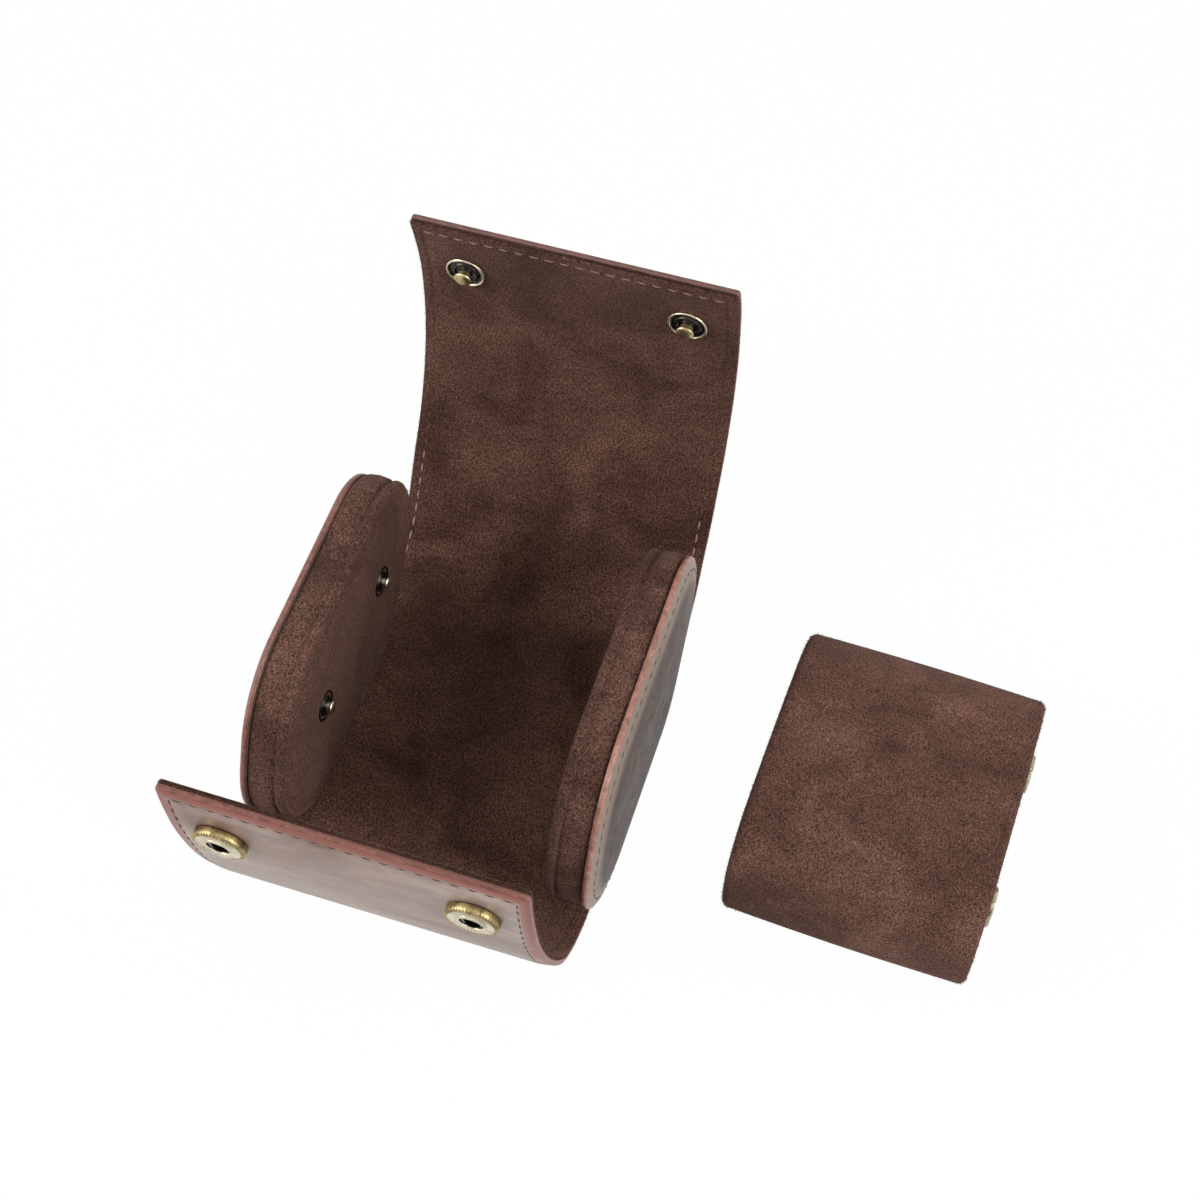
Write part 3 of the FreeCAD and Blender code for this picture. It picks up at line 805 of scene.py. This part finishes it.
def make_disc(name, side):
    """Outer leather disc of a cap: a dome, a burnished rim and a stitch row."""
    rim = DISC_OVERHANG
    profile = [(growth * MM, DISC_INNER) for growth in (-9.0, -1.0, 0.1)]
    profile.append((rim - 0.15 * MM, DISC_FRONT - RIM_WIDTH))
    for angle in (90, 65, 40, 15):
        turn = radians(angle)
        profile.append((rim - RIM_ROUND * (1 - sin(turn)), DISC_FRONT - RIM_ROUND * (1 - cos(turn))))
    slot_of = [0, 0, 2, 1, 1, 1, 1]
    row = DISC_STITCH_INSET / MM
    for inset in (1.3, 2.0, row - 0.35, row, row + 0.35, 4.0, 5.5, 7.5, 10.0, 13.0, 16.0, DOME_REACH / MM):
        groove = STITCH_GROOVE / 2 if inset == row else 0.0
        profile.append((rim - inset * MM, disc_level(inset * MM) - groove))
    slot_of += [0] * (len(profile) - len(slot_of) - 1)
    # painted highlight: paler colour within this reach of the rim
    margins = [smoothstep(1.0 - (rim - growth) / DISC_HIGHLIGHT_MARGIN) for growth, x in profile]
    # painted light and shade: the right disc takes the lighter rim copy, the left the darker
    materials = [DISC_LEATHER, LIT_RIGHT_RIM if side > 0 else SHADED_LEFT_RIM, PAD_SUEDE]
    piece = cap_piece(name + "_disc", profile, side, materials, slot_of, rim=margins)
    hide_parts(name + "_leather")
    return fixed(piece, "case")


def make_pad(name, side):
    """Padded suede core of a cap: the band with its seam, and the face sewn into it."""
    back = [(-3.0, 0.0), (-0.6, 0.0), (-0.15, -0.1), (0.08, -0.4), (0.2, -1.2), (0.28, -3.2)]
    seam = [(0.2, 1.2), (0.0, 0.5), (-0.45, 0.0), (0.02, -0.5), (0.2, -1.1), (0.16, -1.8)]
    fold = [(-0.1, 0.4), (-0.45, 0.1), (-0.95, 0.0), (-1.45, 0.12), (-1.8, 0.5), (-3.0, 0.6)]
    flat_face = [(-3.2, 0.9), (-1.5, 0.75), (-1.62, 0.35), (-2.1, 0.12), (-3.2, 0.0), (-5.0, -0.12),
                 (-8.0, -0.22), (-12.5, -0.28)]
    band_parts = ((DISC_INNER - 0.02 * MM, back), (PAD_FACE + SEAM_INSET, seam), (PAD_FACE, fold))
    face_parts = ((PAD_FACE, flat_face),)
    # the faces take the darker suede copy: painted shade
    for part, places, cover in (("band", band_parts, PAD_SUEDE), ("face", face_parts, SHADED_FACE_SUEDE)):
        profile = [(growth * MM, start + x * MM) for start, points in places for growth, x in points]
        piece = cap_piece(name + "_padded_" + part, profile[::-1], side, [cover], settle=True)
        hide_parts(name + "_" + part)
        fixed(piece, "case")


def outline_place(distance, growth, x, side):
    """Point at a distance round a cap's outline, moved out by growth."""
    place = (distance / PAD_LENGTH % 1.0) * OUTLINE_POINTS
    i = int(place) % OUTLINE_POINTS
    share = place - int(place)
    after = (i + 1) % OUTLINE_POINTS
    point = PAD_POINTS[i].lerp(PAD_POINTS[after], share)
    normal = PAD_OUTWARD[i].lerp(PAD_OUTWARD[after], share).normalized()
    moved = point + normal * growth
    return Vector((side * x, moved.y, moved.z)), normal


def cap_stitches(name, side, growth, x, outward_x, lift):
    """A row of stitches round a cap, on its flat outer face or round its side."""
    vertices, faces = [], []
    count = round(PAD_LENGTH / CAP_STITCH_PITCH)
    length = CAP_STITCH_LENGTH
    for i in range(count):
        start = PAD_LENGTH * i / count
        up = Vector((side, 0.0, 0.0)) if outward_x else outline_place(start + length / 2, 0.0, 0.0, side)[1]
        path = lambda t: outline_place(start + t, growth, x, side)[0]
        add_part(vertices, faces, stitch(path, up, length, lift))
    piece = make_object("stitches_" + name, vertices, faces, [DARK_THREAD])
    return fixed(piece, "case")


def cap_fuzz(name, side, per_mm=5.0):
    """Loose fibres along the inner edge and the seam of a cap's pad."""
    vertices, faces = [], []
    for i in range(int(PAD_LENGTH / MM * per_mm)):
        for growth, x, lean in ((-0.35, 0.15, -0.8), (0.12, SEAM_INSET / MM - 1.3, 0.0)):
            distance = uniform(0.0, PAD_LENGTH)
            root, normal = outline_place(distance, growth * MM, PAD_FACE + x * MM, side)
            direction = scatter_direction(normal + Vector((side * lean, 0, 0)), 0.5)
            length = uniform(*PAD_LENGTHS) * MM
            if root.z < LINING_TOP + 1.2 * MM:
                continue
            add_part(vertices, faces, fibre(root, direction, length, uniform(*PAD_WIDTHS) * MM))
    piece = make_object("fibres_" + name, vertices, faces, [FUZZ])
    return fixed(piece, "case")


def make_cap(name, side):
    """One end cap with its stitching and fibres."""
    make_disc(name, side)
    make_pad(name, side)
    cap_stitches(name + "_disc", side, DISC_OVERHANG - DISC_STITCH_INSET,
                 disc_level(DISC_STITCH_INSET), True, 0.16 * MM)
    # painted shade: the seam row uses the dark thread, for the shade in the seam
    cap_stitches(name + "_seam", side, -0.2 * MM, PAD_FACE + SEAM_INSET, False, 0.02 * MM)
    cap_fuzz(name, side)


# Snap fasteners

def lathe(profile, milled):
    """Rings of a turned part from (radius, height) points, milled at some of them."""
    rings = []
    steps = LATHE_STEPS * (2 if milled else 1)
    for index, (radius, height) in enumerate(profile):
        ring = []
        for k in range(steps):
            angle = 2 * pi * k / steps
            raised = MILLING_HEIGHT * cos(MILLING_COUNT * angle) if index in milled else 0.0
            ring.append(Vector((radius * cos(angle), radius * sin(angle), height + raised)))
        rings.append(ring)
    return rings


def arc(centre, radius, start, end, steps):
    """Points (r, z) on an arc of a profile, angles in degrees."""
    angles = [radians(start + (end - start) * k / steps) for k in range(steps + 1)]
    return [(centre[0] + radius * cos(a), centre[1] + radius * sin(a)) for a in angles]


def stud_profile():
    """Stud: a rolled flange, a blackened dish and a round-headed post."""
    flange = STUD_FLANGE / MM
    dome = [radians(angle) for angle in (-38, -22, -6, 10, 26, 42, 58, 74, 84)]
    return [([(0.5, 0.0), (flange - 0.2, 0.0)], 0),
            (arc((flange - 0.36, 0.4), 0.36, -60, 150, 9), 1),
            ([(4.2, 0.36), (3.9, 0.26), (3.6, 0.24)], 2),
            (arc((2.85, 0.35), 0.45, 10, 170, 7), 2),
            ([(2.2, 0.34), (1.8, 0.38), (1.65, 0.55), (1.62, 0.9)], 2),
            ([(1.6, 1.98)], 0),
            ([(2.22 * cos(a), 2.56 + 0.7 * sin(a)) for a in dome], 0),
            ([(0.05, 3.26)], 0)]


def socket_profile():
    """Socket: a can with a milled rim, a bare ring and a raised lip."""
    outer = SOCKET_RADIUS / MM
    shoulder = [(0.12, 1.85), (0.35, 2.05), (0.6, 2.14), (0.8, 2.16)]
    return [([(0.5, 0.0), (outer - 0.35, 0.0)], 0),
            (arc((outer - 0.3, 0.3), 0.3, -60, 0, 3), 0),
            ([(outer, 1.0), (outer, 1.65)], 0),
            ([(outer - inset, height) for inset, height in shoulder], 0),
            ([(outer - 0.95, 2.05), (outer - 1.1, 2.02), (3.75, 2.02), (3.5, 2.06)], 1),
            (arc((2.98, 2.08), 0.42, 20, 165, 6), 1),
            ([(2.55, 2.0), (2.52, 1.94)], 2),
            ([(3.5, 1.9), (3.5, 0.4), (0.05, 0.35)], 2)]


def rivet_profile():
    """Rivet head: a low dome with a rolled rim."""
    return [([(0.5, 0.0), (4.2, 0.0)], 0),
            (arc((4.15, 0.25), 0.25, -70, 60, 4), 0),
            ([(4.0, 0.5), (3.4, 0.66), (2.4, 0.76), (1.2, 0.8), (0.05, 0.81)], 0)]


def turned_part(parts, milling=False):
    """Points, faces and slots of a turned part, from profile parts in millimetres."""
    profile, slots = [], []
    for points, slot in parts:
        for radius, height in points:
            profile.append((radius * MM, height * MM))
            slots.append(slot)
    low, high = MILLED_BAND
    milled = [i for i, (radius, height) in enumerate(profile)
              if milling and low <= radius <= high and height > MILLING_START]
    rings = lathe(profile, milled)
    count = len(rings[0])
    faces = joined_rings(rings)
    face_slots = [slots[i // count + 1] for i in range(count * (len(rings) - 1))]
    face_slots += [slots[0], slots[-1]]
    return flat(rings), faces, face_slots


def set_parts(name, part, places, materials, body, slot, node, size=1.0):
    """One piece that repeats a turned part at places (point, axis)."""
    vertices, faces, slots = [], [], []
    points, part_faces, part_slots = part
    for point, axis in places:
        turn = Vector((0.0, 0.0, 1.0)).rotation_difference(axis)
        add_part(vertices, faces, ([point + turn @ (place * size) for place in points], part_faces))
        slots += part_slots
    piece = make_object(name, vertices, faces, materials, slots)
    piece.data.set_sharp_from_angle(angle=radians(42))
    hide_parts(node)
    return fixed(piece, body)


def tube(path, radius, sides=8):
    """Points and faces of a round wire along a path of points."""
    rings = []
    across = None
    for i, point in enumerate(path):
        along = (path[min(i + 1, len(path) - 1)] - path[max(i - 1, 0)]).normalized()
        across = along.orthogonal() if across is None else across - along * across.dot(along)
        across = across.normalized()
        over = along.cross(across)
        rings.append([point + (across * cos(a) + over * sin(a)) * radius
                      for a in (2 * pi * k / sides for k in range(sides))])
    return flat(rings), joined_rings(rings)


def spring_wires():
    """Two bowed wires in a socket, with their ends turned in."""
    vertices, faces = [], []
    half_gap, reach, level, wire = 1.95 * MM, 2.5 * MM, 1.7 * MM, 0.22 * MM
    for side in (-1, 1):
        path = []
        for k in range(-8, 9):
            t = k / 8
            bow = half_gap + 0.16 * MM * cos(pi * t) - 0.5 * MM * max(abs(t) - 0.7, 0.0)
            path.append(Vector((side * bow, reach * t, level)))
        add_part(vertices, faces, tube(path, wire))
    return vertices, faces, [0] * len(faces)


def flap_places(s, depth, turned):
    """Places (point, axis) of a flap's two snaps; turned is -1 on the leather."""
    axis = strip_frame(s)[1] * turned
    return [(strip_point(s, x, depth), axis) for x in (-FLAP_SNAP_X, FLAP_SNAP_X)]


def make_snaps():
    """All snap fasteners."""
    stud = turned_part(stud_profile())
    socket = turned_part(socket_profile(), milling=True)
    rivet = turned_part(rivet_profile())
    wires = spring_wires()
    metals = [BRASS, PALE_BRASS, TARNISH]
    aged = [AGED_BRASS, PALE_BRASS, TARNISH]
    # painted light on the cap studs: a paler head for its highlight, a blackened flange for its shade,
    # unlike the lid studs
    lit_head_shaded_flange = [PALE_BRASS, TARNISH, TARNISH]
    worn = [GREYED_BRASS, PALE_BRASS, TARNISH]
    lid_at = LID_END - LID_SNAP_INSET
    front_at = FRONT_END + FRONT_SNAP_INSET
    hollow = STUD_FLANGE ** 2 / (2 * LID_RUNS[-1][1])
    studs = flap_places(lid_at, -hollow, 1)
    backs = flap_places(lid_at, WRAP_DEPTH, -1)
    seats = flap_places(front_at, WRAP_DEPTH, -1)
    heads = flap_places(front_at, -0.1 * MM, 1)
    inside = [(Vector((-PAD_FACE, y, z)), Vector((1.0, 0.0, 0.0))) for y, z in CAP_SNAPS]
    out = CUSHION_PLACE.to_3x3() @ Vector((1.0, 0.0, 0.0))
    ends = [(CUSHION_PLACE @ Vector((CUSHION_END, y, z)), out) for y, z in CUSHION_SNAPS]
    brass, wire, small = "antique_brass", "spring_steel", CAP_SNAP_SIZE
    for row in (
            ("lid_snap_studs", stud, studs, metals, "lid_upper", brass, "lid_studs"),
            ("lid_snap_rivets", rivet, backs, metals, "lid_upper", brass, "lid_stud_rivets"),
            ("front_snap_sockets", socket, seats, aged, "front_upper", brass, "front_sockets"),
            ("front_snap_springs", wires, seats, [STEEL], "front_upper", wire, "front_socket_springs"),
            ("front_snap_rivets", rivet, heads, metals, "front_upper", brass, "front_socket_rivets"),
            ("left_cap_snap_studs", stud, inside, lit_head_shaded_flange, "case", brass, "left_cap_studs", small),
            ("cushion_snap_sockets", socket, ends, worn, "cushion", brass, "cushion_sockets", small),
            ("cushion_snap_springs", wires, ends, [STEEL], "cushion", wire,
             "cushion_socket_springs", small)):
        set_parts(*row)


# Watch cushion

def cushion_outline(shrink, count):
    """Points (y, z) round the cushion's section and their outward directions."""
    half, top = CUSHION_HALF_DEPTH - shrink, CUSHION_TOP_ROUND - shrink
    high = CUSHION_HEIGHT - CUSHION_TOP_RISE - shrink
    foot = CUSHION_FOOT_ROUND - shrink
    circles = [(half - foot, shrink + foot, foot), (half - top, high - top, top),
               (top - half, high - top, top), (foot - half, shrink + foot, foot)]
    points, outward, length = belt(circles, count)
    raised = []
    for point in points:
        across = min(abs(point.y) / (half - top / 2), 1.0)
        rise = CUSHION_TOP_RISE * (1.0 - across ** 2) if point.z > high - top / 2 else 0.0
        raised.append(Vector((0.0, point.y, point.z + rise)))
    return raised, outward


def inflated(vertices, faces, held, limit):
    """Vertices after cloth, held at some of them, swells under pressure."""
    mesh = bpy.data.meshes.new("cloth")
    mesh.from_pydata([point * CLOTH_SCALE for point in vertices], [], faces)
    cloth = placed("cloth", mesh)
    group = cloth.vertex_groups.new(name="held")
    group.add(held, 1.0, "REPLACE")
    settings = cloth.modifiers.new("cloth", "CLOTH").settings
    settings.vertex_group_mass = "held"
    settings.use_pressure = True
    settings.uniform_pressure_force = CLOTH_PRESSURE
    settings.effector_weights.gravity = 0.0
    scene = bpy.context.scene
    for step in range(1, CLOTH_STEPS + 1):
        scene.frame_set(step)
    shaped = cloth.evaluated_get(bpy.context.evaluated_depsgraph_get()).data
    moved = []
    for point, vertex in zip(vertices, shaped.vertices):
        shift = vertex.co / CLOTH_SCALE - point
        moved.append(point + shift * min(1.0, limit / max(shift.length, 1e-9)))
    scene.frame_set(1)
    bpy.data.objects.remove(cloth)
    bpy.data.meshes.remove(mesh)
    return moved


def cushion_piece(name, vertices, faces, nodes):
    """A suede piece of the cushion, set at the cushion's place."""
    piece = make_object(name, vertices, faces, [CUSHION_SUEDE])
    piece.matrix_world = CUSHION_PLACE
    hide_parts(*nodes)
    fixed(piece, "cushion")
    return piece


def cushion_rim():
    """Profile (growth, distance from the end) of the cover's rim."""
    fold = in_mm((-3.2, 2.4), (-2.75, 1.7), (-2.55, 0.9), (-2.3, 0.25))
    return fold + [rim_point(angle) for angle in (0, 18, 36, 54, 72, 88)]


def rim_point(angle):
    """Growth and distance from the end at an angle of the rim's rounding."""
    turn = radians(angle)
    return CUSHION_EDGE_ROUND * (sin(turn) - 1.0), CUSHION_EDGE_ROUND * (1.0 - cos(turn))


def cushion_rings(profile, points, outward, lowest):
    """Rings round the cushion from a profile of (growth, x)."""
    rings = []
    for growth, x in profile:
        rings.append([Vector((x, point.y + normal.y * growth, max(point.z + normal.z * growth, lowest)))
                      for point, normal in zip(points, outward)])
    return rings


def make_cushion():
    """Cushion: a cover that swells between its two stiff suede ends."""
    count, length = CUSHION_POINTS, CUSHION_HALF_LENGTH
    points, outward = cushion_outline(CUSHION_INSET, count)
    rim = cushion_rim()
    span = length - CUSHION_EDGE_ROUND - 0.6 * MM
    steps = [i / 18 - 1.0 for i in range(37)]
    profile = [(growth, x - length) for growth, x in rim]
    profile += [(CUSHION_SWELL * (1.0 - t * t), span * t) for t in steps]
    profile += [(growth, length - x) for growth, x in reversed(rim)]
    rings = cushion_rings(profile, points, outward, 0.02 * MM)
    vertices = flat(rings)
    faces = joined_rings(rings, closed=False)
    stiff = len(rim) * count
    held = [i for i, point in enumerate(vertices)
            if i < stiff or i >= len(vertices) - stiff or point.z < 1.5 * MM]
    swollen = inflated(vertices, faces, held, CUSHION_SWELL)
    cushion_piece("cushion_padded_cover", swollen, faces, ["cushion_cover"])
    panel = [(-4.2, -1.6), (-2.7, -1.1), (-2.85, -0.5), (-3.4, -0.2), (-4.8, -0.1), (-7.0, -0.06),
             (-11.0, -0.05)]
    for side, end in ((-1, "left"), (1, "right")):
        profile = [(growth * MM, side * (CUSHION_END + x * MM)) for growth, x in panel]
        rings = cushion_rings(profile, points, outward, 0.1 * MM)
        rings = rings if side > 0 else [ring[::-1] for ring in rings]
        cushion_piece("cushion_padded_end_" + end, flat(rings), joined_rings(rings),
                      ["cushion_" + end + "_end"])
    cushion_fuzz(points, outward)


def cushion_fuzz(points, outward, rim_count=4200, side_count=12000):
    """Loose fibres over the cushion's cover."""
    vertices, faces = [], []
    for i in range(rim_count + side_count):
        k = randrange(len(points))
        side = choice((-1, 1))
        angle = uniform(5.0, 85.0) if i < rim_count else 90.0
        growth, inset = rim_point(angle)
        if i >= rim_count:
            inset = uniform(CUSHION_EDGE_ROUND, CUSHION_HALF_LENGTH)
        root = points[k] + outward[k] * (growth - 0.05 * MM)
        root.x = side * (CUSHION_HALF_LENGTH - inset - 0.05 * MM)
        if root.z < 1.0 * MM:
            continue
        turn = radians(angle)
        lean = outward[k] * sin(turn) + Vector((side * cos(turn), 0.0, 0.0))
        length = uniform(*CUSHION_LENGTHS) * MM
        width = uniform(*PAD_WIDTHS) * MM
        add_part(vertices, faces, fibre(root, scatter_direction(lean, 0.5), length, width))
    piece = make_object("fibres_cushion", vertices, faces, [FUZZ])
    piece.matrix_world = CUSHION_PLACE
    return fixed(piece, "cushion")


# Carried-over CAD nodes, which lie inside the pads and the cushion

def finish_nodes():
    """Materials for the CAD nodes that stay."""
    looks = {"_foam": FOAM, "_board": BOARD, "_rivets": BRASS}
    for name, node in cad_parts.items():
        for ending, material in looks.items():
            if name.endswith(ending):
                node.data.materials.clear()
                node.data.materials.append(material)


# Studio

def seen_directly(tree):
    """1 for rays from the camera, mirror rays and rays through glass, else 0."""
    path = tree.nodes.new("ShaderNodeLightPath")
    total = path.outputs["Is Camera Ray"]
    for name in ("Is Glossy Ray", "Is Transmission Ray"):
        total = add_node(tree, "Math", {0: total, 1: path.outputs[name]}, operation="MAXIMUM")
    return total


def make_floor():
    """Plain white floor that keeps the object's shadow."""
    corners = [(x * FLOOR_REACH, y * FLOOR_REACH, 0.0) for x, y in ((-1, -1), (1, -1), (1, 1), (-1, 1))]
    material = bpy.data.materials.new("studio_floor")
    material.use_nodes = True
    tree = material.node_tree
    tree.nodes.remove(tree.nodes["Principled BSDF"])
    diffuse = add_node(tree, "BsdfDiffuse", {"Color": (0.92, 0.92, 0.92, 1.0)})
    white = add_node(tree, "Emission", {})
    share = add_node(tree, "Math", {0: seen_directly(tree), 1: FLOOR_WHITENESS}, operation="MULTIPLY")
    both = add_node(tree, "MixShader", {0: share, 1: diffuse, 2: white})
    set_inputs(tree, tree.nodes["Material Output"], {"Surface": both})
    floor = make_object("studio_floor", corners, [(0, 1, 2, 3)], [material])
    floor.location.z = -0.05 * MM


def make_world():
    """White surroundings, which light the object at a plain level."""
    world = bpy.data.worlds.new("studio")
    world.use_nodes = True
    bpy.context.scene.world = world
    tree = world.node_tree
    levels = {"Value": seen_directly(tree), "To Min": WORLD_LEVEL, "To Max": 1.0}
    strength = add_node(tree, "MapRange", levels, "Result")
    set_inputs(tree, tree.nodes["Background"], {"Color": (1.0, 1.0, 1.0, 1.0), "Strength": strength})


def make_lamp(name, place, power):
    """Square soft box at a place, turned towards the object."""
    light = bpy.data.lights.new(name, "AREA")
    light.size = LAMP_SIZE
    light.energy = power
    lamp = placed(name, light)
    lamp.location = place
    lamp.rotation_euler = (Vector(place) - Vector(MIDDLE)).to_track_quat("Z", "Y").to_euler()


def make_camera():
    """Camera of the photograph, for a square frame."""
    azimuth, elevation = CAMERA_AZIMUTH, CAMERA_ELEVATION
    back = Vector((sin(azimuth) * cos(elevation), -cos(azimuth) * cos(elevation), sin(elevation)))
    right = Vector((cos(azimuth), sin(azimuth), 0.0))
    up = back.cross(right)
    data = bpy.data.cameras.new("camera")
    data.sensor_width = 36.0
    data.lens = CAMERA_LENS
    data.clip_start = 0.01
    camera = placed("camera", data)
    turn = Matrix((right, up, back)).transposed().to_4x4()
    camera.matrix_world = Matrix.Translation(CAMERA_PLACE) @ turn
    bpy.context.scene.camera = camera


make_wrap()
make_cap("left_cap", -1)
make_cap("right_cap", 1)
make_snaps()
make_cushion()
finish_nodes()
make_floor()
make_world()
for lamp_name, lamp_place, lamp_power in LAMPS:
    make_lamp(lamp_name, lamp_place, lamp_power)
make_camera()
bpy.context.scene.view_settings.view_transform = "Standard"
